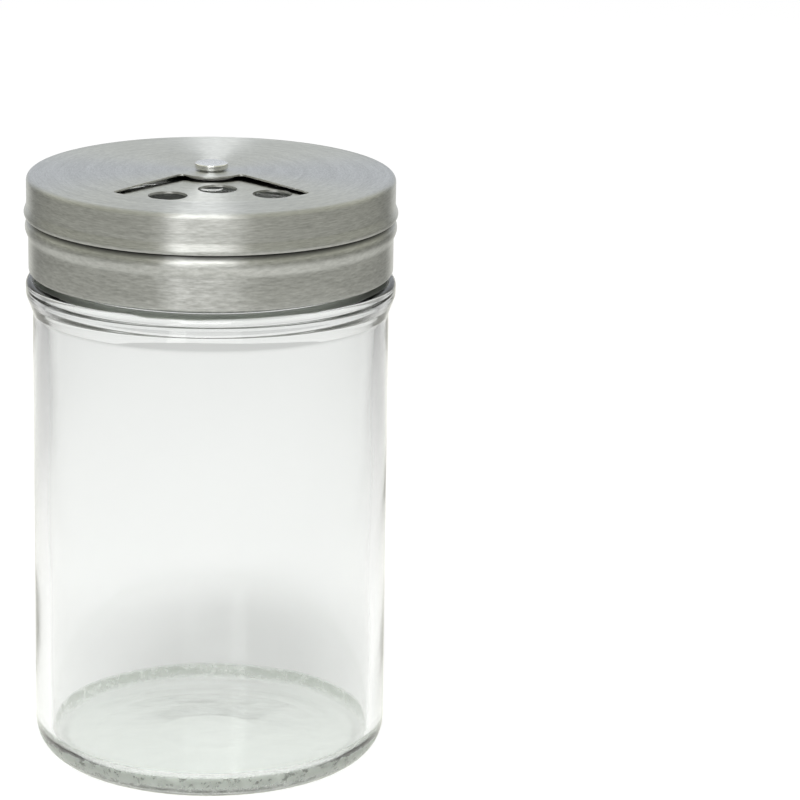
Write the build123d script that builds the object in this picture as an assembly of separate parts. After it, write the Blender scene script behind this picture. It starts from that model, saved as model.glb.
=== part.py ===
from build123d import *
from math import cos, radians, sin
import os

# Glass spice jar with a rotating steel shaker lid. Millimetres, +Z up.
# The origin is the centre of the ring that the jar stands on; the cap's window faces -Y.

# Glass jar
jar_height = 101.6  # standing ring to the glass rim
body_radius = 31.0  # the neck and the whole lid take their width from this
glass_wall = 2.7
base_thickness = 4.2
heel_radius = 6.6
inner_heel_radius = 2.4
push_up_depth = 0.3
push_up_slope = 12.0  # how far the push-up's edge runs in while it rises
standing_ring_width = 3.6
neck_inset = 2.6  # neck inside the body
neck_wall = 2.6
lip_round = 0.7
bead_proud = 1.2  # the bead under the lid stands this far off the body
bead_height = 5.8
bead_land = 0.45  # share of the bead's height that is upright
bead_round = 2.4
shoulder_round = 1.2
neck_round = 0.8
inner_shoulder_drop = 2.3  # shoulder down to where the full bore starts
inner_shoulder_round = 1.5

# Seal and moulded thread insert
gasket_thickness = 1.0
gasket_inset = 0.4  # gasket bore beyond the glass mouth
gasket_lap = 0.3  # gasket edge beyond the neck
insert_wall = 1.1
insert_flange = 1.2
insert_round = 0.4
flange_inset = 0.2  # insert flange bore beyond the glass mouth

# Steel ring that screws down over the insert
ring_sheet = 0.4
ring_height = 16.6
ring_corner = 0.9
ring_flange = 5.0  # how far the top flange reaches in over the sifter
ring_bead_drop = 7.0  # top of the ring down to its bead
ring_bead_height = 3.4
ring_bead_crest = 0.42  # share of the bead's height above its crest
ring_bead_proud = 1.0
ring_bead_bend = 1.8
skirt_flare = 0.19
curl_round = 0.6
curl_reach = 1.1

# Sifter disc, held under the ring's flange
disc_sheet = 0.4
disc_step = 0.45  # the middle stands this far above the trapped rim
step_run = 0.7
step_round = 0.6
station_turn = 5.5  # degrees from the cap's window to the large holes
large_hole_radius = 3.36
large_hole_inset = 5.7  # window's outer edge to the centres of the outer two
large_hole_spread = 30.0
middle_hole_inset = 12.6
fine_hole_radius = 1.0
fine_row_inset = 2.2  # window's outer edge to the outer row
fine_row_step = 4.1
fine_rows = 3
fine_hole_spacing = 5.0
fine_spread = 31.0
pour_inner_radius = 8.6
pour_inset = 1.9  # window's outer edge to the pour opening's
pour_half_angle = 33.0
pour_corner = 1.6

# Rotating cap
cap_sheet = 0.3
cap_height = 7.0
cap_corner = 1.0
cap_crown = 0.7
rim_land = 0.3
cap_bead_height = 1.9  # up from the cap's lower edge
cap_bead_crest = 0.76
cap_bead_proud = 0.5
cap_bead_bend = 0.8
cap_edge_proud = 0.3  # the cut edge under the bead, off the wall
window_inner_radius = 6.05
window_margin = 8.5  # cap's edge to the window
window_half_angle = 41.8
window_apex = 2.4  # the window's sides meet this far behind the rivet
window_corner = 0.9

# Pivot
rivet_head_radius = 2.9
rivet_head_height = 1.0
rivet_head_round = 0.25
rivet_shoulder_radius = 2.1
head_lift = 0.3  # head above the cap's top
shank_radius = 1.5
glide_radius = 4.2
spring_radius = 3.6
spring_sheet = 0.3
spring_rise = 0.3
retainer_radius = 3.4
retainer_thickness = 0.6
tail_radius = 2.3
tail_height = 0.8
tail_round = 0.5

# Clearances
turn_gap = 0.05  # rivet shoulder in the cap, and the cap over the glide washer
shank_gap = 0.05
side_gap = 0.2  # ring wall inside the cap wall
rim_gap = 0.1  # ring flange under the cap's rim
insert_gap = 0.1
disc_gap = 0.1  # sifter's edge short of the ring's corner bend
flange_gap = 0.4  # ring flange's edge outside the sifter's step
thread_gap = 1.5  # room for the threads between the neck and the insert
shoulder_gap = 1.2  # ring's lower edge over the glass shoulder

# Radii that follow, from the glass out to the cap
bore_radius = body_radius - glass_wall
neck_radius = body_radius - neck_inset
mouth_radius = neck_radius - neck_wall
insert_bore = neck_radius + thread_gap
insert_radius = insert_bore + insert_wall
ring_wall_radius = insert_radius + insert_gap + ring_sheet
cap_radius = ring_wall_radius + side_gap + cap_sheet
window_outer_radius = cap_radius - window_margin
flange_edge_radius = ring_wall_radius - ring_flange
step_foot_radius = flange_edge_radius - flange_gap
shank_bore = shank_radius + shank_gap

# Levels that follow, from the glass rim up
gasket_top = jar_height + gasket_thickness
insert_top = gasket_top + insert_flange
disc_rim_top = insert_top + disc_sheet
disc_top = disc_rim_top + disc_step
ring_top = disc_rim_top + ring_sheet
ring_bottom = ring_top - ring_height
cap_rim_top = ring_top + rim_gap + cap_sheet
cap_top = cap_rim_top + cap_crown
glide_top = cap_top - cap_sheet - turn_gap
shoulder_level = ring_bottom - shoulder_gap


def revolved(points, radii):
    """Solid turned from a closed outline of (radius, height) points with rounded corners."""
    with BuildPart() as turned:
        with BuildSketch(Plane.XZ):
            with BuildLine():
                FilletPolyline(*points, radius=radii, close=True)
            make_face()
        revolve(axis=Axis.Z)
    return turned.part


def bead(radius, foot_radius, proud, top, height, crest):
    """Points of a rolled bead, from the wall above it to what is below it."""
    return [(radius, top), (radius + proud, top - height * crest), (foot_radius, top - height)]


def washer(inner_radius, outer_radius, bottom, top):
    with BuildPart() as ring:
        with BuildSketch(Plane.XY.offset(bottom)):
            Circle(outer_radius)
            Circle(inner_radius, mode=Mode.SUBTRACT)
        extrude(amount=top - bottom)
    return ring.part


def fan(inner_radius, outer_radius, apex, half_angle, corner):
    """Fan-shaped opening round the pivot that faces -Y; its sides meet apex behind the pivot."""
    slope = radians(half_angle)

    def side_point(radius):
        # where the side line crosses a circle of this radius about the pivot
        along = apex * cos(slope) + (radius**2 - (apex * sin(slope)) ** 2) ** 0.5
        return along * sin(slope), apex - along * cos(slope)

    x_in, y_in = side_point(inner_radius)
    x_out, y_out = side_point(outer_radius)
    with BuildSketch() as opening:
        with BuildLine():
            ThreePointArc((-x_in, y_in), (0, -inner_radius), (x_in, y_in))
            Line((x_in, y_in), (x_out, y_out))
            ThreePointArc((x_out, y_out), (0, -outer_radius), (-x_out, y_out))
            Line((-x_out, y_out), (-x_in, y_in))
        make_face()
        fillet(opening.vertices(), corner)
    return opening.sketch


def glass_jar():
    outer_bead = body_radius + bead_proud
    bore_top = shoulder_level - inner_shoulder_drop
    push_up_radius = body_radius - heel_radius - standing_ring_width
    outline = [
        (0, push_up_depth),
        (push_up_radius - push_up_slope, push_up_depth),
        (push_up_radius, 0),
        (body_radius, 0),
        (body_radius, shoulder_level - bead_height),
        (outer_bead, shoulder_level - bead_height * bead_land),
        (outer_bead, shoulder_level),
        (neck_radius, shoulder_level),
        (neck_radius, jar_height),
        (mouth_radius, jar_height),
        (mouth_radius, shoulder_level),
        (bore_radius, bore_top),
        (bore_radius, base_thickness),
        (0, base_thickness),
    ]
    radii = [0, push_up_slope, 0, heel_radius, bead_round, bead_round, shoulder_round, neck_round]
    radii += [lip_round, lip_round, inner_shoulder_round, inner_shoulder_round, inner_heel_radius, 0]
    return revolved(outline, radii)


def rim_gasket():
    return washer(mouth_radius + gasket_inset, neck_radius + gasket_lap, jar_height, gasket_top)


def thread_insert():
    bottom = ring_bottom + ring_sheet + insert_gap
    flange_bore = mouth_radius + flange_inset
    outline = [
        (flange_bore, insert_top),
        (insert_radius, insert_top),
        (insert_radius, bottom),
        (insert_bore, bottom),
        (insert_bore, gasket_top),
        (flange_bore, gasket_top),
    ]
    return revolved(outline, [0, insert_round, 0, 0, 0, 0])


def bent_sheet(sheet, points, radii, crown_top=None):
    """Sheet metal turned round the axis, its outer face along the points and under a crowned middle."""
    with BuildPart() as shell:
        with BuildSketch(Plane.XZ):
            with BuildLine():
                if crown_top:
                    TangentArc((0, crown_top), points[0], tangent=(1, 0))
                FilletPolyline(*points, radius=radii)
                offset(amount=sheet, kind=Kind.INTERSECTION, side=Side.RIGHT)
            make_face()
        revolve(axis=Axis.Z)
    return shell.part


def screw_ring():
    wall = ring_wall_radius
    skirt = wall + skirt_flare
    points = [(flange_edge_radius, ring_top), (wall, ring_top)]
    bead_top = ring_top - ring_bead_drop
    points += bead(wall, skirt, ring_bead_proud, bead_top, ring_bead_height, ring_bead_crest)
    points += [(skirt, ring_bottom), (skirt - curl_reach, ring_bottom)]
    radii = [ring_corner] + [ring_bead_bend] * 3 + [curl_round]
    return bent_sheet(ring_sheet, points, radii)


def sifter_disc():
    edge = ring_wall_radius - ring_corner - disc_gap
    points = [
        (0, disc_top),
        (step_foot_radius - step_run, disc_top),
        (step_foot_radius, disc_rim_top),
        (edge, disc_rim_top),
    ]
    blank = bent_sheet(disc_sheet, points, [step_round, step_round])
    return blank - extrude(sifter_openings(), disc_top, both=True)


def sifter_openings():
    """The shank's hole and three of the four stations; the fourth is left closed."""
    with BuildSketch() as cuts:
        Circle(shank_bore)
        with Locations(Location((0, 0), station_turn)):
            for angle in (-large_hole_spread, large_hole_spread):
                with PolarLocations(window_outer_radius - large_hole_inset, 1, start_angle=angle - 90):
                    Circle(large_hole_radius)
            with Locations((0, middle_hole_inset - window_outer_radius)):
                Circle(large_hole_radius)
        for row in range(fine_rows):
            radius = window_outer_radius - fine_row_inset - row * fine_row_step
            count = 1 + round(2 * radians(fine_spread) * radius / fine_hole_spacing)
            start = station_turn - fine_spread
            with PolarLocations(radius, count, start, 2 * fine_spread, endpoint=True):
                Circle(fine_hole_radius)
        with Locations(Location((0, 0), station_turn - 90)):
            add(fan(pour_inner_radius, window_outer_radius - pour_inset, 0, pour_half_angle, pour_corner))
    return cuts.sketch


def rotating_cap():
    rim = cap_radius - cap_corner - rim_land
    points = [(rim, cap_rim_top), (cap_radius, cap_rim_top)]
    edge_radius = cap_radius + cap_edge_proud
    bead_top = cap_rim_top - cap_height + cap_bead_height
    points += bead(cap_radius, edge_radius, cap_bead_proud, bead_top, cap_bead_height, cap_bead_crest)
    radii = [cap_corner, cap_bead_bend, cap_bead_bend]
    shell = bent_sheet(cap_sheet, points, radii, cap_top)
    window = fan(window_inner_radius, window_outer_radius, window_apex, window_half_angle, window_corner)
    pivot_hole = Circle(rivet_shoulder_radius + turn_gap)
    above_sifter = Plane.XY.offset(disc_top)
    return shell - extrude(above_sifter * (window + pivot_hole), cap_height)


def glide_washer():
    return washer(shank_bore, glide_radius, disc_top, glide_top)


def pivot_rivet():
    head_under = cap_top + head_lift
    head_top = head_under + rivet_head_height
    tail_top = disc_top - disc_sheet - spring_sheet - spring_rise - retainer_thickness
    tail_bottom = tail_top - tail_height
    outline = [
        (0, head_top),
        (rivet_head_radius, head_top),
        (rivet_head_radius, head_under),
        (rivet_shoulder_radius, head_under),
        (rivet_shoulder_radius, glide_top),
        (shank_radius, glide_top),
        (shank_radius, tail_top),
        (tail_radius, tail_top),
        (tail_radius, tail_bottom),
        (0, tail_bottom),
    ]
    return revolved(outline, [0, rivet_head_round, 0, 0, 0, 0, 0, 0, tail_round, 0])


def spring_washer():
    """Coned washer whose rim presses up on the sifter disc."""
    top = disc_top - disc_sheet
    outline = [
        (spring_radius, top),
        (shank_bore, top - spring_rise),
        (shank_bore, top - spring_rise - spring_sheet),
        (spring_radius, top - spring_sheet),
    ]
    return revolved(outline, [0, 0, 0, 0])


def retaining_washer():
    top = disc_top - disc_sheet - spring_rise - spring_sheet
    return washer(shank_bore, retainer_radius, top - retainer_thickness, top)


pieces = [
    glass_jar,
    rim_gasket,
    thread_insert,
    screw_ring,
    sifter_disc,
    rotating_cap,
    glide_washer,
    pivot_rivet,
    spring_washer,
    retaining_washer,
]

os.makedirs("parts", exist_ok=True)
for piece in pieces:
    export_step(piece(), f"parts/{piece.__name__}.step")
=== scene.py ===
import math
import bmesh
import bpy
import numpy as np
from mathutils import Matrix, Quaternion, Vector


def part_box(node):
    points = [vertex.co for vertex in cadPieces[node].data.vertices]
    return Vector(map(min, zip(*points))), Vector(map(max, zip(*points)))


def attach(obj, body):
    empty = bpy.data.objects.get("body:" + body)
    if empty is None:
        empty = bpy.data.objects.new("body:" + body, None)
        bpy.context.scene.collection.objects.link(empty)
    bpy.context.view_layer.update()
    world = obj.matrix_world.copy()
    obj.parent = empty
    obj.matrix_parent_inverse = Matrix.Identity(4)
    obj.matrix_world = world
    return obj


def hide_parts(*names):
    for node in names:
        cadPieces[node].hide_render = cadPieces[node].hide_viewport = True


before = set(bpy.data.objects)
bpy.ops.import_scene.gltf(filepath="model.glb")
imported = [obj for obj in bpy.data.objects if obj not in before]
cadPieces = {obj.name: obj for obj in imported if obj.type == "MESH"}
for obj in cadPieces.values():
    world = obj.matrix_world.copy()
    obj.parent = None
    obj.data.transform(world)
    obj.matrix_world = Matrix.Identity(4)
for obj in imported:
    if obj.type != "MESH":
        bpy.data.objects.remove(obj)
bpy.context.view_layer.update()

mm = 0.001
tau = 2 * math.pi
near = 0.01  # mm; a point of an outline that is this close to a radius or a level lies on it
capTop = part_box("rotating_cap")[1][2] / mm
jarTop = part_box("glass_jar")[1][2] / mm
ringFoot, ringTop = (corner[2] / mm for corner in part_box("screw_ring"))
insertFoot, insertTop = (corner[2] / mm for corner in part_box("thread_insert"))
rivetFoot, rivetTop = (corner[2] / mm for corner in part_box("pivot_rivet"))
print("frame read: glass up to", round(jarTop, 2), "mm, cap up to", round(capTop, 2), "mm")


def rounded(points, radii, steps):
    # Outline through the points, where each inner corner becomes an arc that touches both its sides. It
    # swings from one touching point to the other: (sin((1 - t) s) u + sin(t s) v) / sin(s), where s is its
    # sweep and u and v lead from its centre to those two points.
    points = np.array(points, float)
    out = [points[:1]]
    for before, corner, after, radius in zip(points[:-2], points[1:-1], points[2:], radii):
        if radius == 0:
            out.append(corner[None])
            continue
        a = (before - corner) / np.linalg.norm(before - corner)
        b = (after - corner) / np.linalg.norm(after - corner)
        half = math.acos(np.clip(a @ b, -1, 1)) / 2
        centre = corner + (a + b) / np.linalg.norm(a + b) * radius / math.sin(half)
        u = corner + a * radius / math.tan(half) - centre
        v = corner + b * radius / math.tan(half) - centre
        sweep = math.pi - 2 * half
        t = np.linspace(0, 1, steps + 1)[:, None]
        out.append(centre + (np.sin((1 - t) * sweep) * u + np.sin(t * sweep) * v) / math.sin(sweep))
    out.append(points[-1:])
    return np.vstack(out)


def dense(outline, longest):
    # the same outline with evenly spaced points added wherever a straight run is longer than asked
    parts = []
    for a, b in zip(outline[:-1], outline[1:]):
        count = max(1, math.ceil(np.linalg.norm(b - a) / longest))
        parts.append(a + (b - a) * np.linspace(0, 1, count, endpoint=False)[:, None])
    return np.vstack(parts + [outline[-1:]])


def closeRows(outline, radius, longest, above=0.0):
    # the same outline with its upright run at this radius cut into short steps, for a thread to stand on
    run = np.flatnonzero((np.abs(outline[:, 0] - radius) < near) & (outline[:, 1] > above))
    first, last = run[[0, -1]]
    return np.vstack([outline[:first], dense(outline[[first, last]], longest), outline[last + 1:]])


def anglesRound(columns):
    # the angle of each column, evenly spaced round the axis
    return np.arange(columns) * tau / columns


def turned(radius, height, columns):
    # surface of revolution: x = r cos a, y = r sin a, z = h, over a grid of rows and angles
    angle = anglesRound(columns)
    radius = np.broadcast_to(radius, (len(radius), columns))
    height = np.broadcast_to(height, (len(height), columns))
    return np.stack([radius * np.cos(angle), radius * np.sin(angle), height], axis=-1)


def gridFaces(shape, first=0, flip=False):
    # one four-sided face between each pair of rows and neighbouring columns of a grid that closes on itself
    index = first + np.arange(shape[0] * shape[1]).reshape(shape[:2])
    beside = np.roll(index, -1, axis=1)
    order = [index[:-1], beside[:-1], beside[1:], index[1:]]
    if flip:
        order.reverse()
    return np.stack([corner.ravel() for corner in order], axis=-1)


def addPiece(name, points, faces, body, nodes, sharp=35):
    # Makes a mesh from millimetre points, closes its seams and poles and puts it in the frame. Edges that
    # bend by fewer degrees than sharp are shaded smooth.
    mesh = bpy.data.meshes.new(name)
    flat = points.reshape(-1, 3) * mm
    mesh.vertices.add(len(flat))
    mesh.vertices.foreach_set("co", flat.ravel())
    mesh.loops.add(faces.size)
    mesh.loops.foreach_set("vertex_index", faces.ravel())
    mesh.polygons.add(len(faces))
    mesh.polygons.foreach_set("loop_start", np.arange(len(faces)) * faces.shape[1])
    mesh.update(calc_edges=True)
    work = bmesh.new()
    work.from_mesh(mesh)
    bmesh.ops.remove_doubles(work, verts=work.verts, dist=1e-6)
    bmesh.ops.dissolve_degenerate(work, edges=work.edges, dist=1e-7)
    for face in work.faces:
        face.smooth = True
    for edge in work.edges:
        edge.smooth = edge.calc_face_angle(0) < math.radians(sharp)
    work.to_mesh(mesh)
    work.free()
    piece = bpy.data.objects.new(name, mesh)
    bpy.context.scene.collection.objects.link(piece)
    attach(piece, body)
    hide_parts(nodes)
    return piece


def giveThickness(piece, sheet, edge):
    # sheet metal: a wall on the inner side, with its own finish painted darker as shade, and cut edges
    # broken by a tiny bevel
    wall = piece.modifiers.new("wall", "SOLIDIFY")
    wall.material_offset = 1
    wall.thickness = sheet * mm
    wall.offset = -1
    wall.use_even_offset = True
    bevel = piece.modifiers.new("brokenEdge", "BEVEL")
    bevel.width = edge * mm
    bevel.segments = 2
    bevel.limit_method = "ANGLE"
    bevel.angle_limit = math.radians(50)


def eased(t):
    # from 0 to 1 with a level start and a level end: t squared times (3 - 2 t)
    return t * t * (3 - 2 * t)


def threadHeight(angle, height, thread, shift=0.0):
    # ridge that climbs one pitch a turn: 1 on its crest, eased to 0 on both flanks and at both its ends
    ridge = np.zeros(np.broadcast(angle, height).shape)
    for lap in range(math.ceil(thread["turns"]) + 1):
        run = angle / tau + lap
        crest = thread["start"] + shift + thread["pitch"] * run
        across = np.clip((thread["width"] / 2 - np.abs(height - crest)) / thread["flank"], 0, 1)
        ends = np.clip(np.minimum(run, thread["turns"] - run) / thread["fade"], 0, 1)
        ridge = np.maximum(ridge, eased(across) * eased(ends))
    return ridge


def colour(hexCode):
    # sRGB hex to the linear numbers that the shaders use
    s = np.array([int(hexCode[i:i + 2], 16) / 255 for i in (1, 3, 5)])
    linear = np.where(s <= 0.04045, s / 12.92, ((s + 0.055) / 1.055) ** 2.4)
    return (*linear.tolist(), 1.0)


def addNode(tree, kind, inputs=None, **settings):
    # Adds a node with its settings. An input is a plain value, an output, or a node, which gives its first
    # output. Inputs that go by number: Map Range turns 0 from the span 1, 2 to the span 3, 4, and Mix goes
    # by the share 0 from 2 to 3 in numbers or from 6 to 7 in colours, whose result is output 2.
    node = tree.nodes.new(kind)
    for key, value in settings.items():
        setattr(node, key, value)
    for socket, value in (inputs or {}).items():
        if isinstance(value, bpy.types.Node):
            value = value.outputs[0]
        if isinstance(value, bpy.types.NodeSocket):
            tree.links.new(value, node.inputs[socket])
        else:
            node.inputs[socket].default_value = value
    return node


def newMaterial(name):
    # an empty material and its node tree
    material = bpy.data.materials.new(name)
    material.use_nodes = True
    material.node_tree.nodes.clear()
    return material, material.node_tree


noiseLow, noiseHigh = 0.3, 0.7  # a noise texture seldom leaves this span


def brushedSteel(name, look):
    # Stainless steel, brushed while it spins: fine grooves run round the axis, so a highlight is drawn out
    # across them, into a fan on a flat top and an upright band on a wall. Where another piece lies over the
    # sheet, its colour is painted dark as shade, fading to the brushed tint over a span of radius or
    # height.
    material, tree = newMaterial(name)
    place = addNode(tree, "ShaderNodeTexCoord").outputs["Object"]
    x, y, z = addNode(tree, "ShaderNodeSeparateXYZ", {0: place}).outputs
    flat = addNode(tree, "ShaderNodeCombineXYZ", {0: x, 1: y})
    radius = addNode(tree, "ShaderNodeVectorMath", {0: flat}, operation="LENGTH").outputs["Value"]
    around = addNode(tree, "ShaderNodeVectorMath", {0: flat}, operation="NORMALIZE")
    across = addNode(tree, "ShaderNodeMath", {0: radius, 1: z}, operation="SUBTRACT")
    grooves = []
    for line in ("groove", "band"):
        # a noise that changes once a line's length round the axis and once its spacing across it
        changesRound = look["radius"] / look[line + "Length"]
        changesAcross = 1 / (look[line + "Spacing"] * mm)
        run = addNode(tree, "ShaderNodeVectorMath", {0: around, 3: changesRound}, operation="SCALE")
        step = addNode(tree, "ShaderNodeMath", {0: across, 1: changesAcross}, operation="MULTIPLY")
        beside = addNode(tree, "ShaderNodeCombineXYZ", {2: step})
        spot = addNode(tree, "ShaderNodeVectorMath", {0: run, 1: beside}, operation="ADD")
        grooves.append(addNode(tree, "ShaderNodeTexNoise", {
            "Vector": spot, "Scale": 1.0, "Detail": 3.0, "Roughness": 0.6}))
    fine, broad = grooves
    both = addNode(tree, "ShaderNodeMix", {0: look["bandShare"], 2: fine, 3: broad})
    tint = addNode(tree, "ShaderNodeValToRGB", {0: both})
    darkEnd, lightEnd = tint.color_ramp.elements
    darkEnd.position, lightEnd.position = noiseLow, noiseHigh
    darkEnd.color, lightEnd.color = colour(look["dark"]), colour(look["light"])
    # painted shade: the dull colour where another piece covers the sheet, fading out to the tint
    way, shadedAt, unshadedAt = look["paintedShadeFade"]
    paintedShadeFade = addNode(tree, "ShaderNodeMapRange", {
        0: radius if way == "radius" else z, 1: shadedAt * mm, 2: unshadedAt * mm})
    shade = addNode(tree, "ShaderNodeMix", {0: paintedShadeFade, 6: colour(look["dull"]), 7: tint}, data_type="RGBA")
    rough = addNode(tree, "ShaderNodeMapRange", {
        0: fine, 1: noiseLow, 2: noiseHigh, 3: look["roughLow"], 4: look["roughHigh"]})
    bump = addNode(tree, "ShaderNodeBump", {
        "Height": fine, "Strength": look["bump"], "Distance": look["grooveDepth"] * mm})
    tangent = addNode(tree, "ShaderNodeTangent", direction_type="RADIAL", axis="Z")
    shader = addNode(tree, "ShaderNodeBsdfPrincipled", {
        "Base Color": shade.outputs[2], "Metallic": 1.0, "Roughness": rough,
        "Anisotropic": look["drawnOut"], "Anisotropic Rotation": 0.25, "Normal": bump, "Tangent": tangent})
    addNode(tree, "ShaderNodeOutputMaterial", {"Surface": shader})
    return material


def clearGlass(name, look):
    # Pressed soda-lime glass: clear through one wall, grey-green where the eye looks along it, and faintly
    # wavy. The root of the neck is half matt out to a wandering edge, and its colour there is painted a
    # grey-green as shade under the lid; the heel is stippled and scatters the light in pale green grains.
    material, tree = newMaterial(name)
    place = addNode(tree, "ShaderNodeTexCoord").outputs["Object"]
    x, y, height = addNode(tree, "ShaderNodeSeparateXYZ", {0: place}).outputs
    flat = addNode(tree, "ShaderNodeCombineXYZ", {0: x, 1: y})
    radius = addNode(tree, "ShaderNodeVectorMath", {0: flat}, operation="LENGTH").outputs["Value"]
    # relief: slow waves everywhere, and a closer mottle that dies away above the base
    waves = addNode(tree, "ShaderNodeTexNoise", {
        "Vector": place, "Scale": 1 / (look["waveSize"] * mm), "Detail": 2.0})
    mottle = addNode(tree, "ShaderNodeTexNoise", {
        "Vector": place, "Scale": 1 / (look["mottleSize"] * mm), "Detail": 3.0})
    low = addNode(tree, "ShaderNodeMapRange", {
        0: height, 1: look["mottleFull"] * mm, 2: look["mottleEnd"] * mm,
        3: look["mottleDepth"] / look["waveDepth"], 4: 0.0})
    extra = addNode(tree, "ShaderNodeMath", {0: mottle, 1: low}, operation="MULTIPLY")
    relief = addNode(tree, "ShaderNodeMath", {0: waves, 1: extra}, operation="ADD")
    bump = addNode(tree, "ShaderNodeBump", {
        "Height": relief, "Strength": 1.0, "Distance": look["waveDepth"] * mm})
    # root of the neck, painted grey-green as shade under the lid: between two heights and inside a
    # radius that the mottle moves in and out
    middle = (look["rootLow"] + look["rootHigh"]) / 2 * mm
    reach = (look["rootHigh"] - look["rootLow"]) / 2 * mm
    level = addNode(tree, "ShaderNodeMath", {0: height, 1: middle, 2: reach}, operation="COMPARE")
    edge = addNode(tree, "ShaderNodeMath", {0: mottle, 1: look["rootWander"] * mm, 2: radius},
                   operation="MULTIPLY_ADD")
    inner = addNode(tree, "ShaderNodeMapRange", {
        0: edge, 1: look["rootInner"] * mm, 2: look["rootOuter"] * mm, 3: 1.0, 4: 0.0})
    rootShadeMask = addNode(tree, "ShaderNodeMath", {0: level, 1: inner}, operation="MULTIPLY")
    # heel: below one height and outside one radius, with grains where the noise is high
    below = addNode(tree, "ShaderNodeMapRange", {
        0: height, 1: look["heelFull"] * mm, 2: look["heelEnd"] * mm, 3: 1.0, 4: 0.0})
    outside = addNode(tree, "ShaderNodeMapRange", {
        0: radius, 1: look["heelInner"] * mm, 2: look["heelOuter"] * mm})
    heel = addNode(tree, "ShaderNodeMath", {0: below, 1: outside}, operation="MULTIPLY")
    grains = addNode(tree, "ShaderNodeTexNoise", {
        "Vector": place, "Scale": 1 / (look["stippleSize"] * mm), "Detail": 3.0, "Roughness": 0.7})
    dots = addNode(tree, "ShaderNodeMapRange", {
        0: grains, 1: look["grainLow"], 2: look["grainHigh"],
        3: look["stippleLow"], 4: look["stippleHigh"]})
    stipple = addNode(tree, "ShaderNodeMath", {0: heel, 1: dots}, operation="MULTIPLY")
    matt = addNode(tree, "ShaderNodeMath", {0: rootShadeMask, 1: look["rootMatt"], 2: stipple},
                   operation="MULTIPLY_ADD")
    clear = addNode(tree, "ShaderNodeMath", {0: 1.0, 1: matt}, operation="SUBTRACT")
    # painted shade: the root of the neck takes the grey-green shade colour
    tint = addNode(tree, "ShaderNodeMix", {
        0: rootShadeMask, 6: colour(look["surface"]), 7: colour(look["rootShadeTint"])}, data_type="RGBA")
    shade = addNode(tree, "ShaderNodeMix", {
        0: heel, 6: tint.outputs[2], 7: colour(look["heelTint"])}, data_type="RGBA")
    shader = addNode(tree, "ShaderNodeBsdfPrincipled", {
        "Base Color": shade.outputs[2], "Roughness": matt, "IOR": 1.52, "Transmission Weight": clear,
        "Normal": bump})
    depth = addNode(tree, "ShaderNodeVolumeAbsorption", {
        "Color": colour(look["depthTint"]), "Density": look["density"]})
    # light on its way from a lamp goes straight through, so the jar casts a pale shadow
    passed = addNode(tree, "ShaderNodeBsdfTransparent", {"Color": colour(look["lightPassed"])})
    toLamp = addNode(tree, "ShaderNodeLightPath").outputs["Is Shadow Ray"]
    surface = addNode(tree, "ShaderNodeMixShader", {0: toLamp, 1: shader, 2: passed})
    addNode(tree, "ShaderNodeOutputMaterial", {"Surface": surface, "Volume": depth})
    return material


def mouldedPlastic(name, look):
    # Soft moulded plastic or rubber: a dull skin with a fine spark-eroded grain and faint flow marks.
    material, tree = newMaterial(name)
    place = addNode(tree, "ShaderNodeTexCoord").outputs["Object"]
    grain = addNode(tree, "ShaderNodeTexNoise", {
        "Vector": place, "Scale": 1 / (look["grain"] * mm), "Detail": 4.0})
    flow = addNode(tree, "ShaderNodeTexNoise", {
        "Vector": place, "Scale": 1 / (look["flow"] * mm), "Detail": 1.0})
    tint = addNode(tree, "ShaderNodeValToRGB", {0: flow})
    darkEnd, lightEnd = tint.color_ramp.elements
    darkEnd.color, lightEnd.color = colour(look["dark"]), colour(look["light"])
    rough = addNode(tree, "ShaderNodeMapRange", {0: grain, 3: look["roughLow"], 4: look["roughHigh"]})
    bump = addNode(tree, "ShaderNodeBump", {
        "Height": grain, "Strength": 0.3, "Distance": look["grainDepth"] * mm})
    shader = addNode(tree, "ShaderNodeBsdfPrincipled", {
        "Base Color": tint, "Roughness": rough, "IOR": 1.5, "Subsurface Weight": look["milky"],
        "Subsurface Radius": (1.0, 1.0, 1.0), "Subsurface Scale": 0.5 * mm, "Normal": bump})
    addNode(tree, "ShaderNodeOutputMaterial", {"Surface": shader})
    return material


def setMaterial(piece, *materials):
    # gives a piece its finishes; a sheet has a second one, for its inner wall
    piece.data.materials.clear()
    for material in materials:
        piece.data.materials.append(material)


cameraView = {
    "lens": 189.7, "sensor": 36.0,  # mm
    "distance": 744.0, "elevation": 16.22, "height": 52.6,  # from the point on the axis at this height
    "pixelX": 210.6, "pixelY": 464.2, "frameSize": 800,  # where that point falls in the render
    "roll": 0.15,  # degrees
}


def placeCamera(view):
    # looks at the point on the axis from the front, then turns about the lens until it falls on its pixel
    data = bpy.data.cameras.new("camera")
    data.lens = view["lens"]
    data.sensor_width = view["sensor"]
    data.clip_end = 50
    camera = bpy.data.objects.new("camera", data)
    bpy.context.scene.collection.objects.link(camera)
    tilt = math.radians(view["elevation"])
    back = Vector((0, -math.cos(tilt), math.sin(tilt)))
    camera.location = Vector((0, 0, view["height"] * mm)) + back * view["distance"] * mm
    focal = view["lens"] / view["sensor"] * view["frameSize"]
    middle = view["frameSize"] / 2
    aim = Vector(((view["pixelX"] - middle) / focal, (middle - view["pixelY"]) / focal, -1)).normalized()
    facing = (-back).to_track_quat("-Z", "Y")
    roll = Quaternion((0, 0, 1), math.radians(view["roll"]))
    camera.rotation_mode = "QUATERNION"
    camera.rotation_quaternion = facing @ roll @ aim.rotation_difference(Vector((0, 0, -1)))
    bpy.context.scene.camera = camera


placeCamera(cameraView)
print("camera placed")

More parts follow.
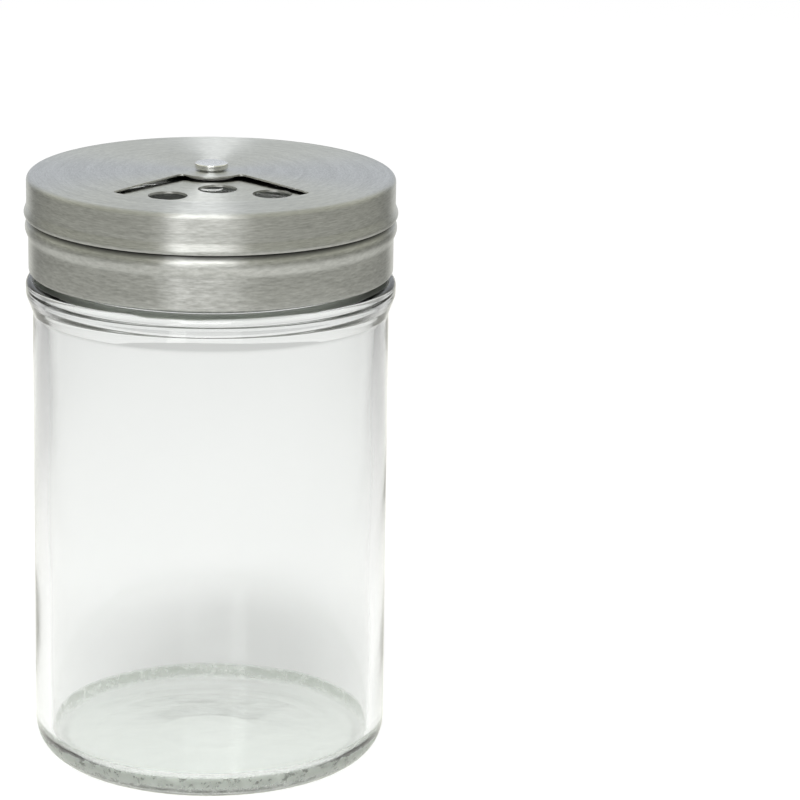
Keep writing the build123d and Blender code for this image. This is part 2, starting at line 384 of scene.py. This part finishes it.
thread = {
    "pitch": 4.5, "start": 90.6, "turns": 1.4, "width": 2.0, "flank": 0.8, "depth": 1.1,
    "fade": 0.07,  # turns over which each end rises
    "rowStep": 0.22,
}
jar = {
    "bodyRadius": 31.0, "wall": 2.7, "base": 4.2,
    "heel": 6.6, "innerHeel": 2.4,
    "pushUp": 0.3, "pushUpRadius": 20.8, "pushUpSlope": 12.0, "footRound": 0.8,
    "beadProud": 1.2, "beadHeight": 5.8, "beadLand": 0.45, "beadRound": 2.4,
    "shoulder": ringFoot - 1.2, "shoulderRound": 1.2,
    "neckRadius": 28.4, "neckWall": 2.6, "neckRound": 0.8, "lipRound": 0.7,
    "innerShoulderDrop": 2.3, "innerShoulderRound": 1.5, "innerShoulderBlend": 3.2,
    # Pressed glass is never quite even inside. A wall wave has its lobes round, its phase a mm up, its own
    # phase and its share; a floor wave has its phase a mm in x and in y, its own phase and its share.
    "wallRipple": 0.03, "wallWaves": [(3, 0.11, 0.0, 1.0), (7, -0.21, 1.3, 0.6)],
    "wallRippleFoot": 1.0,  # above the floor
    "floorRipple": 0.006, "floorFade": 6.0,
    "floorWaves": [(0.42, 0.23, 0.0, 1.0), (-0.19, 0.51, 2.0, 1.0), (0.72, -0.71, 0.0, 0.7)],
    "columns": 248, "cornerSteps": 9, "rowStep": 1.0,
}


def jarOutline(jar):
    # closed section from the middle of the push-up out, up the outside, over the lip and down the inside
    body, shoulder = jar["bodyRadius"], jar["shoulder"]
    bead, beadFoot = body + jar["beadProud"], shoulder - jar["beadHeight"]
    beadCrest = shoulder - jar["beadHeight"] * jar["beadLand"]
    neck, mouth, inside = jar["neckRadius"], jar["neckRadius"] - jar["neckWall"], body - jar["wall"]
    points = [
        (0, jar["pushUp"]), (jar["pushUpRadius"] - jar["pushUpSlope"], jar["pushUp"]),
        (jar["pushUpRadius"], 0), (body, 0), (body, beadFoot), (bead, beadCrest), (bead, shoulder),
        (neck, shoulder), (neck, jarTop), (mouth, jarTop), (mouth, shoulder),
        (inside, shoulder - jar["innerShoulderDrop"]), (inside, jar["base"]), (0, jar["base"]),
    ]
    radii = [
        jar["pushUpSlope"], jar["footRound"], jar["heel"], jar["beadRound"], jar["beadRound"],
        jar["shoulderRound"], jar["neckRound"], jar["lipRound"], jar["lipRound"],
        jar["innerShoulderRound"], jar["innerShoulderBlend"], jar["innerHeel"],
    ]
    return dense(rounded(points, radii, jar["cornerSteps"]), jar["rowStep"])


def makeJar(jar, thread):
    # The outline turned about the axis, with the thread added to the neck's radius. Inside, a sum of sine
    # waves moves the wall in and out, and another moves the floor up and down and fades toward the wall.
    outline = closeRows(jarOutline(jar), jar["neckRadius"], thread["rowStep"], above=jar["shoulder"])
    row, height, angle = outline[:, :1], outline[:, 1:], anglesRound(jar["columns"])
    onNeck = np.abs(row - jar["neckRadius"]) < near
    radius = row + onNeck * thread["depth"] * threadHeight(angle, height, thread)
    lip = np.flatnonzero(outline[:, 1] >= jarTop - near)[-1]
    inside = np.arange(len(outline))[:, None] > lip
    onWall = inside & (height > jar["base"] + jar["wallRippleFoot"]) & (height < jar["shoulder"])
    waves = sum(share * np.sin(lobes * angle + upward * height + phase)
                for lobes, upward, phase, share in jar["wallWaves"])
    radius = radius + onWall * jar["wallRipple"] * waves
    x, y = radius * np.cos(angle), radius * np.sin(angle)
    waves = sum(share * np.sin(alongX * x + alongY * y + phase)
                for alongX, alongY, phase, share in jar["floorWaves"])
    onFloor = inside & (height < jar["base"] + near)
    floorEdge = jar["bodyRadius"] - jar["wall"] - jar["innerHeel"]
    fade = np.clip((floorEdge - row) / jar["floorFade"], 0, 1)
    height = height + onFloor * fade * jar["floorRipple"] * waves
    height[-1] = height[-1].mean()  # the last row is one point, in the middle of the floor
    points = turned(radius, height, jar["columns"])
    return addPiece("jar", points, gridFaces(points.shape), "jar", "glass_jar", sharp=60)


jarPiece = makeJar(jar, thread)
glassLook = {
    "surface": "#FBFCFB",
    "depthTint": "#828683", "density": 9.5, "lightPassed": "#E9ECE9",
    "waveSize": 14.0, "waveDepth": 0.02,
    "mottleSize": 8.0, "mottleDepth": 0.06, "mottleFull": 3.0, "mottleEnd": 8.0,
    # painted shade: the root of the neck under the lid is tinted grey-green
    "rootShadeTint": "#80867B", "rootLow": 86.4, "rootHigh": 87.1, "rootMatt": 0.5,
    "rootInner": 32.2, "rootOuter": 32.6, "rootWander": 2.4,  # the noise adds half of this on the average
    "heelTint": "#DEE5DB", "heelFull": 4.8, "heelEnd": 5.8, "heelInner": 28.2, "heelOuter": 30.4,
    "stippleSize": 1.8, "stippleLow": 0.15, "stippleHigh": 0.62,  # least and most scattering of a grain
    "grainLow": 0.35, "grainHigh": 0.65,  # values of the noise between which a grain grows
}
setMaterial(jarPiece, clearGlass("sodaLimeGlass", glassLook))
print("jar made")

insert = {
    "radius": 31.0, "bore": 29.9, "flangeBore": 26.0, "flange": 1.2,
    "flangeEdge": 0.2, "boreCorner": 0.3, "leadIn": 0.25, "footEdge": 0.2, "topRound": 0.4,
    "columns": 240, "cornerSteps": 4,
}
plasticLook = {
    "dark": "#8F9189", "light": "#9D9F97", "roughLow": 0.38, "roughHigh": 0.5,
    "grain": 0.25, "grainDepth": 0.02, "flow": 12.0, "milky": 0.05,
}


def makeInsert(insert, thread):
    # a sleeve with a flange on top, turned about the axis; its thread stands half a pitch above the jar's
    under = insertTop - insert["flange"]
    points = [
        (insert["flangeBore"], insertTop), (insert["flangeBore"], under), (insert["bore"], under),
        (insert["bore"], insertFoot), (insert["radius"], insertFoot), (insert["radius"], insertTop),
        (insert["flangeBore"], insertTop),
    ]
    radii = [insert[corner] for corner in ("flangeEdge", "boreCorner", "leadIn", "footEdge", "topRound")]
    outline = rounded(points, radii, insert["cornerSteps"])
    outline = closeRows(outline, insert["bore"], thread["rowStep"])
    row, height = outline[:, :1], outline[:, 1:]
    onBore = np.abs(row - insert["bore"]) < near
    ridge = threadHeight(anglesRound(insert["columns"]), height, thread, shift=thread["pitch"] / 2)
    points = turned(row - onBore * thread["depth"] * ridge, height, insert["columns"])
    faces = gridFaces(points.shape)
    return addPiece("threadInsert", points, faces, "lid", "thread_insert")


insertPiece = makeInsert(insert, thread)
setMaterial(insertPiece, mouldedPlastic("polypropylene", plasticLook))
print("insert made")

ring = {
    "wallRadius": 31.5, "sheet": 0.4, "corner": 0.9, "flange": 5.0,
    "beadDrop": 7.0, "beadHeight": 3.4, "beadCrest": 0.42, "beadProud": 1.0, "beadBend": 1.8,
    "skirtFlare": 0.19, "curl": 0.6, "curlReach": 1.1,
    "cutEdge": 0.06, "columns": 256, "cornerSteps": 8, "rowStep": 2.5,
}


def makeRing(ring):
    # outer face of the sheet, turned: from the curl up over skirt, bead and corner to the flange
    wall, skirt = ring["wallRadius"], ring["wallRadius"] + ring["skirtFlare"]
    beadTop, bend = ringTop - ring["beadDrop"], ring["beadBend"]
    points = [
        (skirt - ring["curlReach"], ringFoot), (skirt, ringFoot), (skirt, beadTop - ring["beadHeight"]),
        (wall + ring["beadProud"], beadTop - ring["beadHeight"] * ring["beadCrest"]), (wall, beadTop),
        (wall, ringTop), (wall - ring["flange"], ringTop),
    ]
    outline = rounded(points, [ring["curl"], bend, bend, bend, ring["corner"]], ring["cornerSteps"])
    outline = dense(outline, ring["rowStep"])
    points = turned(outline[:, :1], outline[:, 1:], ring["columns"])
    piece = addPiece("screwRing", points, gridFaces(points.shape), "lid", "screw_ring")
    giveThickness(piece, ring["sheet"], ring["cutEdge"])
    return piece


ringPiece = makeRing(ring)
print("ring made")

cap = {
    "radius": 32.0, "sheet": 0.3, "corner": 1.0, "crown": 0.7, "rimLand": 0.3,
    "height": 7.0, "beadHeight": 1.9, "beadCrest": 0.76, "beadProud": 0.5, "beadBend": 0.8,
    "edgeProud": 0.3, "cutEdge": 0.05,
    "pivotHole": 2.15,
    "windowInner": 6.05, "windowOuter": 23.5, "windowHalfAngle": 41.8, "windowApex": 2.4,
    "windowCorner": 0.9,
    "columns": 200,  # past the window, from one of its sides round the back to the other
    "arcSteps": 24, "sideSteps": 40, "cornerSteps": 12, "crownSteps": 14, "bendSteps": 8,
}


def windowHalf(cap):
    # Right half of the fan-shaped window, from the middle of its inner edge round to the middle of its
    # outer edge: arc about the pivot, corner arc, straight side, corner arc, arc about the pivot. The
    # centre of a corner lies along the side's line, moved in by the corner's radius, where
    # |start + t along| is the radius of the arc about the pivot plus or minus the corner's.
    slope, corner = math.radians(cap["windowHalfAngle"]), cap["windowCorner"]
    along = np.array([math.sin(slope), -math.cos(slope)])
    inward = np.array([-math.cos(slope), -math.sin(slope)])
    start = np.array([0, cap["windowApex"]]) + corner * inward
    parts = []
    for radius, side in ((cap["windowInner"], 1), (cap["windowOuter"], -1)):
        reach = radius + side * corner
        t = -along @ start + math.sqrt((along @ start) ** 2 - start @ start + reach**2)
        centre = start + t * along
        unit = centre / np.linalg.norm(centre)
        turn = np.linspace(0, math.atan2(unit[0], -unit[1]), cap["arcSteps"], endpoint=False)[:, None]
        arc = radius * np.hstack([np.sin(turn), -np.cos(turn)])
        first, last = math.atan2(-side * unit[1], -side * unit[0]), math.atan2(-inward[1], -inward[0])
        last = first + (last - first + math.pi) % tau - math.pi
        turn = np.linspace(first, last, cap["cornerSteps"])[:, None]
        parts.append(np.vstack([arc, centre + corner * np.hstack([np.cos(turn), np.sin(turn)])]))
    inner, outer = parts
    steps = np.linspace(0, 1, cap["sideSteps"])[1:-1, None]
    straight = inner[-1] + (outer[-1] - inner[-1]) * steps
    return np.vstack([inner, straight, outer[::-1]])


def makeCap(cap):
    # The sheet's outer face. Each column leaves the pivot hole at its own bearing; on the crown its height
    # is that of a sphere through the top and the rim, and past the rim it follows the bent wall down.
    rimTop = capTop - cap["crown"]
    rim = cap["radius"] - cap["corner"] - cap["rimLand"]
    sphere = (rim**2 + cap["crown"] ** 2) / (2 * cap["crown"])
    foot = rimTop - cap["height"]
    beadTop = foot + cap["beadHeight"]
    wall = rounded(
        [(rim, rimTop), (cap["radius"], rimTop), (cap["radius"], beadTop),
         (cap["radius"] + cap["beadProud"], beadTop - cap["beadHeight"] * cap["beadCrest"]),
         (cap["radius"] + cap["edgeProud"], foot)],
        [cap["corner"], cap["beadBend"], cap["beadBend"]], cap["bendSteps"])
    half = windowHalf(cap)
    bearing = np.arctan2(half[:, 0], -half[:, 1])  # from the window's middle, seen from the pivot
    widest = int(bearing.argmax())
    past = np.linspace(bearing[widest], tau - bearing[widest], cap["columns"])[1:-1]
    # two rings of faces: pivot hole out to the window's inner edge, and its outer edge out to the rim
    points, faces, count = [], [], 0
    for chain, outermost in ((half[:widest + 1], False), (half[widest:][::-1], True)):
        turn, reach = np.arctan2(chain[:, 0], -chain[:, 1]), np.linalg.norm(chain, axis=1)
        angles = np.concatenate([turn, past, tau - turn[:0:-1]])
        edge = np.concatenate([reach, np.full(len(past), reach[-1]), reach[:0:-1]])
        inner, outer = (edge, rim) if outermost else (cap["pivotHole"], edge)
        radius = inner + (outer - inner) * np.linspace(0, 1, cap["crownSteps"])[:, None]
        height = capTop - sphere + np.sqrt(sphere**2 - radius**2)
        if outermost:
            bent = wall[1:, :, None] + 0 * angles
            radius, height = np.vstack([radius, bent[:, 0]]), np.vstack([height, bent[:, 1]])
        grid = np.stack([radius * np.sin(angles), -radius * np.cos(angles), height], axis=-1)
        points.append(grid.reshape(-1, 3))
        faces.append(gridFaces(grid.shape, first=count, flip=True))
        count += len(points[-1])
    piece = addPiece("turningCap", np.vstack(points), np.vstack(faces), "cap", "rotating_cap")
    giveThickness(piece, cap["sheet"], cap["cutEdge"])
    return piece


capPiece = makeCap(cap)
print("cap made")

rivet = {
    "headRadius": 2.9, "headHeight": 1.0, "headRound": 0.3, "headEdge": 0.12, "dome": 0.06,
    "shoulderRadius": 2.1, "shoulderRound": 0.08, "shoulderDrop": 0.05, "shankRadius": 1.5,
    "tailRadius": 2.3, "tailHeight": 0.8, "tailRound": 0.5, "tailEdge": 0.1,
    "columns": 96, "cornerSteps": 6, "rowStep": 0.5,
}


def makeRivet(rivet):
    # section from the tail's middle out, up shank and shoulder and over the head, turned about the axis
    headFoot, tailTop = rivetTop - rivet["headHeight"], rivetFoot + rivet["tailHeight"]
    shoulderFoot = capTop - cap["sheet"] - rivet["shoulderDrop"]
    tail, shank, shoulder, head = (rivet[part + "Radius"] for part in ("tail", "shank", "shoulder", "head"))
    points = [
        (0, rivetFoot), (tail, rivetFoot), (tail, tailTop), (shank, tailTop), (shank, shoulderFoot),
        (shoulder, shoulderFoot), (shoulder, headFoot), (head, headFoot), (head, rivetTop - rivet["dome"]),
        (0, rivetTop),
    ]
    radii = [
        rivet["tailRound"], rivet["tailEdge"], 0, 0, 0, rivet["shoulderRound"], rivet["headEdge"],
        rivet["headRound"],
    ]
    outline = dense(rounded(points, radii, rivet["cornerSteps"]), rivet["rowStep"])
    points = turned(outline[:, :1], outline[:, 1:], rivet["columns"])
    return addPiece("pivotRivet", points, gridFaces(points.shape), "lid", "pivot_rivet")


rivetPiece = makeRivet(rivet)
print("rivet made")

capSteel = {
    "dark": "#A7A8A6", "light": "#D9DAD9",
    "radius": 30.0,  # where the grooves have their stated length
    "grooveLength": 1.6, "grooveSpacing": 0.22,  # mm; real grit lines are finer, these still show
    "bandLength": 22.0, "bandSpacing": 0.9, "bandShare": 0.3,
    "grooveDepth": 0.004, "bump": 0.5, "roughLow": 0.35, "roughHigh": 0.45, "drawnOut": 0.96,
    "dull": "#2E2E2D", "paintedShadeFade": ("radius", -1.0, -0.5),  # painted shade inside the first size, fading out by the second; on the cap that is nowhere
}
# painted shade: a dark band just under the cap's rim, from the first height fading out by the second
ringSteel = dict(
    capSteel, grooveSpacing=0.34, bandSpacing=1.4, roughLow=0.32, roughHigh=0.42, drawnOut=0.91,
    dull="#3A3A39", paintedShadeFade=("height", 97.7, 96.8))
# painted shade: the middle of the disc under the cap's pivot tab is dark, fading out past its edge
sifterSteel = dict(capSteel, dark="#ACADAA", light="#DADBD9", paintedShadeFade=("radius", 5.9, 6.3))
shadedInsideSteel = dict(capSteel, dark="#5E5E5C", light="#6E6E6C", drawnOut=0.0)  # unbrushed inside, painted darker as shade in the gaps
rivetSteel = dict(  # turned to a finer face: brighter and smoother
    capSteel, dark="#C6C7C6", light="#EDEDEC", radius=2.9, grooveLength=3.0, grooveSpacing=0.12,
    roughLow=0.2, roughHigh=0.3, drawnOut=0.4, bump=0.3)
springSteel = dict(  # tempered and left as rolled: grey and dull
    capSteel, dark="#6E6F70", light="#858687", radius=3.5, grooveLength=2.0,
    roughLow=0.5, roughHigh=0.6, drawnOut=0.0)
rubberLook = dict(  # silicone: pale, milky and duller than the plastic
    plasticLook, dark="#C9CAC6", light="#D8D8D5", roughLow=0.55, roughHigh=0.7, milky=0.3)
nylonLook = dict(plasticLook, dark="#E4E2DA", light="#EFEDE6", milky=0.3)  # ivory and milky

# the sheets' inner walls get a steel painted darker, as shade in the gaps under the cap
paintedShadeInside = brushedSteel("insideSteelPaintedShade", shadedInsideSteel)
setMaterial(capPiece, brushedSteel("spunStainlessSteel", capSteel), paintedShadeInside)
setMaterial(ringPiece, brushedSteel("brushedStainlessSteel", ringSteel), paintedShadeInside)
setMaterial(rivetPiece, brushedSteel("turnedStainlessSteel", rivetSteel))
setMaterial(cadPieces["sifter_disc"], brushedSteel("brushedSheetSteel", sifterSteel))
setMaterial(cadPieces["rim_gasket"], mouldedPlastic("siliconeRubber", rubberLook))
setMaterial(cadPieces["glide_washer"], mouldedPlastic("nylon", nylonLook))
springFinish = brushedSteel("springSteel", springSteel)
setMaterial(cadPieces["spring_washer"], springFinish)
setMaterial(cadPieces["retaining_washer"], springFinish)
print("finishes set")

studio = {
    "floorSize": 8.0, "floorDrop": 0.03,  # metres, and mm under the jar so that the two never coincide
    "poolInner": 0.07, "poolOuter": 0.42,  # metres; the painted pool of light round the object
    "glow": 0.7, "albedo": 0.42, "throughGlow": 0.2, "throughAlbedo": 0.88, "bounceAlbedo": 0.8,
    "ambient": 0.55,  # white room light on every surface
    "backFrom": 0.74, "backTo": 0.95,  # cosines of the bearing between which the pale back wall begins
    "ceilingFrom": 0.17, "ceilingTo": 0.42,  # heights on the sky between which the pale ceiling begins
    "ceilingFront": -0.1, "ceilingBack": 0.5,  # cosines of the bearing between which it gets brighter
    # how bright metal sees each part of the room, and in what tint
    "mirrorFloor": 0.26, "mirrorSide": 0.27, "mirrorBack": 0.74,
    "mirrorCeiling": 1.05, "mirrorCeilingFront": 0.75,
    "mirrorFloorTint": "#FFFFF2", "mirrorSideTint": "#F4F4E2", "mirrorBackTint": "#F6FAFF",
    # how bright glass passes it on; the last is for the back of the table
    "throughSide": 0.46, "throughBack": 1.0, "backDrop": 0.93,
}


def backShare(tree, place, studio):
    # 0 toward the front and sides of the room, 1 toward its pale back wall: a smooth step on the cosine of
    # the bearing, which is y over the distance from the axis. Returns that cosine and distance as well.
    x, y, z = addNode(tree, "ShaderNodeSeparateXYZ", {0: place}).outputs
    flat = addNode(tree, "ShaderNodeCombineXYZ", {0: x, 1: y})
    reach = addNode(tree, "ShaderNodeVectorMath", {0: flat}, operation="LENGTH").outputs["Value"]
    cosine = addNode(tree, "ShaderNodeMath", {0: y, 1: reach}, operation="DIVIDE")
    share = addNode(tree, "ShaderNodeMapRange", {0: cosine, 1: studio["backFrom"], 2: studio["backTo"]},
                    interpolation_type="SMOOTHSTEP")
    return share, cosine, reach


def makeFloor(studio):
    # White table with a painted pool of light: its glow is brighter round the object and toward the back,
    # dimmer to the front and sides. The camera sees it white all over; metal and glass see its own level.
    mesh = bpy.data.meshes.new("floor")
    s = studio["floorSize"] / 2
    z = -studio["floorDrop"] * mm
    mesh.from_pydata([(-s, -s, z), (s, -s, z), (s, s, z), (-s, s, z)], [], [(0, 1, 2, 3)])
    floor = bpy.data.objects.new("floor", mesh)
    bpy.context.scene.collection.objects.link(floor)
    material, tree = newMaterial("whiteTable")
    path = addNode(tree, "ShaderNodeLightPath").outputs
    direct, glossy, through = path["Is Camera Ray"], path["Is Glossy Ray"], path["Is Transmission Ray"]
    mirrored = addNode(tree, "ShaderNodeMath", {0: glossy, 1: through}, operation="SUBTRACT")
    place = addNode(tree, "ShaderNodeTexCoord").outputs["Object"]
    back, _, reach = backShare(tree, place, studio)
    paintedPool = addNode(tree, "ShaderNodeMapRange", {
        0: reach, 1: studio["poolInner"], 2: studio["poolOuter"], 3: 1.0, 4: 0.0},
        interpolation_type="SMOOTHSTEP")
    back = addNode(tree, "ShaderNodeMath", {0: back, 1: studio["backDrop"]}, operation="MULTIPLY")
    bright = addNode(tree, "ShaderNodeMath", {0: back, 1: paintedPool}, operation="MAXIMUM")
    dimmest = addNode(tree, "ShaderNodeMix", {
        0: mirrored, 2: studio["throughSide"], 3: studio["mirrorFloor"]})
    brightest = addNode(tree, "ShaderNodeMix", {0: mirrored, 2: studio["throughBack"], 3: 1.0})
    level = addNode(tree, "ShaderNodeMix", {0: bright, 2: dimmest, 3: brightest})
    level = addNode(tree, "ShaderNodeMath", {0: direct, 1: level}, operation="MAXIMUM")
    # one part of its white is a glow and the other is lit, so that it keeps the object's shadow
    own = addNode(tree, "ShaderNodeMix", {0: through, 2: studio["glow"], 3: studio["throughGlow"]})
    strength = addNode(tree, "ShaderNodeMath", {0: level, 1: own}, operation="MULTIPLY")
    tint = addNode(tree, "ShaderNodeMix", {
        0: mirrored, 6: (1, 1, 1, 1), 7: colour(studio["mirrorFloorTint"])}, data_type="RGBA")
    glow = addNode(tree, "ShaderNodeEmission", {"Color": tint.outputs[2], "Strength": strength})
    albedo = addNode(tree, "ShaderNodeMix", {0: through, 2: studio["albedo"], 3: studio["throughAlbedo"]})
    part = addNode(tree, "ShaderNodeMath", {0: level, 1: albedo}, operation="MULTIPLY")
    shade = addNode(tree, "ShaderNodeCombineColor", {0: part, 1: part, 2: part})
    dull = addNode(tree, "ShaderNodeBsdfDiffuse", {"Color": shade})
    lit = addNode(tree, "ShaderNodeAddShader", {0: glow, 1: dull})
    # to light that bounces between matt surfaces it is a plain white table
    bounce = studio["bounceAlbedo"]
    plain = addNode(tree, "ShaderNodeBsdfDiffuse", {"Color": (bounce, bounce, bounce, 1)})
    seen = addNode(tree, "ShaderNodeMath", {0: direct, 1: glossy}, operation="MAXIMUM")
    seen = addNode(tree, "ShaderNodeMath", {0: seen, 1: through}, operation="MAXIMUM")
    surface = addNode(tree, "ShaderNodeMixShader", {0: seen, 1: plain, 2: lit})
    addNode(tree, "ShaderNodeOutputMaterial", {"Surface": surface})
    floor.data.materials.append(material)


def makeWorld(studio):
    # White to the camera. Metal and glass see the pale back wall and a dimmer front and sides, and metal
    # sees a pale ceiling too, brighter toward the back.
    world = bpy.data.worlds.new("room")
    bpy.context.scene.world = world
    world.use_nodes = True
    tree = world.node_tree
    tree.nodes.clear()
    path = addNode(tree, "ShaderNodeLightPath").outputs
    direction = addNode(tree, "ShaderNodeTexCoord").outputs["Generated"]
    height = addNode(tree, "ShaderNodeSeparateXYZ", {0: direction}).outputs[2]
    back, cosine, _ = backShare(tree, direction, studio)
    white = (1, 1, 1, 1)
    tint = addNode(tree, "ShaderNodeMix", {
        0: back, 6: colour(studio["mirrorSideTint"]), 7: colour(studio["mirrorBackTint"])},
        data_type="RGBA")
    ceiling = addNode(tree, "ShaderNodeMapRange", {
        0: height, 1: studio["ceilingFrom"], 2: studio["ceilingTo"]}, interpolation_type="SMOOTHSTEP")
    walls = addNode(tree, "ShaderNodeMix", {0: back, 2: studio["mirrorSide"], 3: studio["mirrorBack"]})
    above = addNode(tree, "ShaderNodeMapRange", {
        0: cosine, 1: studio["ceilingFront"], 2: studio["ceilingBack"],
        3: studio["mirrorCeilingFront"], 4: studio["mirrorCeiling"]})
    mirror = addNode(tree, "ShaderNodeMix", {0: ceiling, 2: walls, 3: above})
    through = addNode(tree, "ShaderNodeMix", {0: back, 2: studio["throughSide"], 3: studio["throughBack"]})
    surface = addNode(tree, "ShaderNodeBackground", {0: white, 1: studio["ambient"]})
    for ray, shade, strength in (
            ("Is Glossy Ray", tint.outputs[2], mirror), ("Is Transmission Ray", white, through),
            ("Is Camera Ray", white, 1.0)):
        seen = addNode(tree, "ShaderNodeBackground", {0: shade, 1: strength})
        surface = addNode(tree, "ShaderNodeMixShader", {0: path[ray], 1: surface, 2: seen})
    addNode(tree, "ShaderNodeOutputWorld", {"Surface": surface})


lampAim = 0.08  # metres above the table, on the axis
lamps = [  # degrees, metres and watts
    {"name": "frontSoftbox", "azimuth": -3, "elevation": 30, "distance": 1.05, "width": 0.78, "height": 0.6,
     "power": 2.15, "upright": True},
    {"name": "frontStrip", "azimuth": -22, "elevation": 28, "distance": 1.0, "width": 0.19, "height": 0.6,
     "power": 0.7, "upright": True},
    {"name": "topSoftbox", "azimuth": -6, "elevation": 62, "distance": 1.1, "width": 0.45, "height": 0.45,
     "power": 3.0, "upright": False},
    {"name": "ceilingPanel", "azimuth": -7, "elevation": 60, "distance": 1.1, "width": 0.5, "height": 0.3,
     "power": 3.8, "upright": False, "mirrored": False},  # casts the lid's soft shadow behind the jar
]


def addLamp(lamp):
    # a soft box that faces the lid, or hangs upright; azimuth 0 is in front, elevation is above the table
    data = bpy.data.lights.new(lamp["name"], "AREA")
    data.shape = "RECTANGLE"
    data.size, data.size_y = lamp["width"], lamp["height"]
    data.energy = lamp["power"]
    turn, lift = math.radians(lamp["azimuth"]), math.radians(lamp["elevation"])
    out = Vector((math.sin(turn) * math.cos(lift), -math.cos(turn) * math.cos(lift), math.sin(lift)))
    light = bpy.data.objects.new(lamp["name"], data)
    light.location = Vector((0, 0, lampAim)) + out * lamp["distance"]
    light.rotation_mode = "QUATERNION"
    if lamp["upright"]:
        out.z = 0
    light.rotation_quaternion = (-out).to_track_quat("-Z", "Y")
    light.visible_glossy = lamp.get("mirrored", True)
    bpy.context.scene.collection.objects.link(light)


makeFloor(studio)
makeWorld(studio)
for lamp in lamps:
    addLamp(lamp)
bpy.context.scene.view_settings.view_transform = "Standard"
print("studio lit")
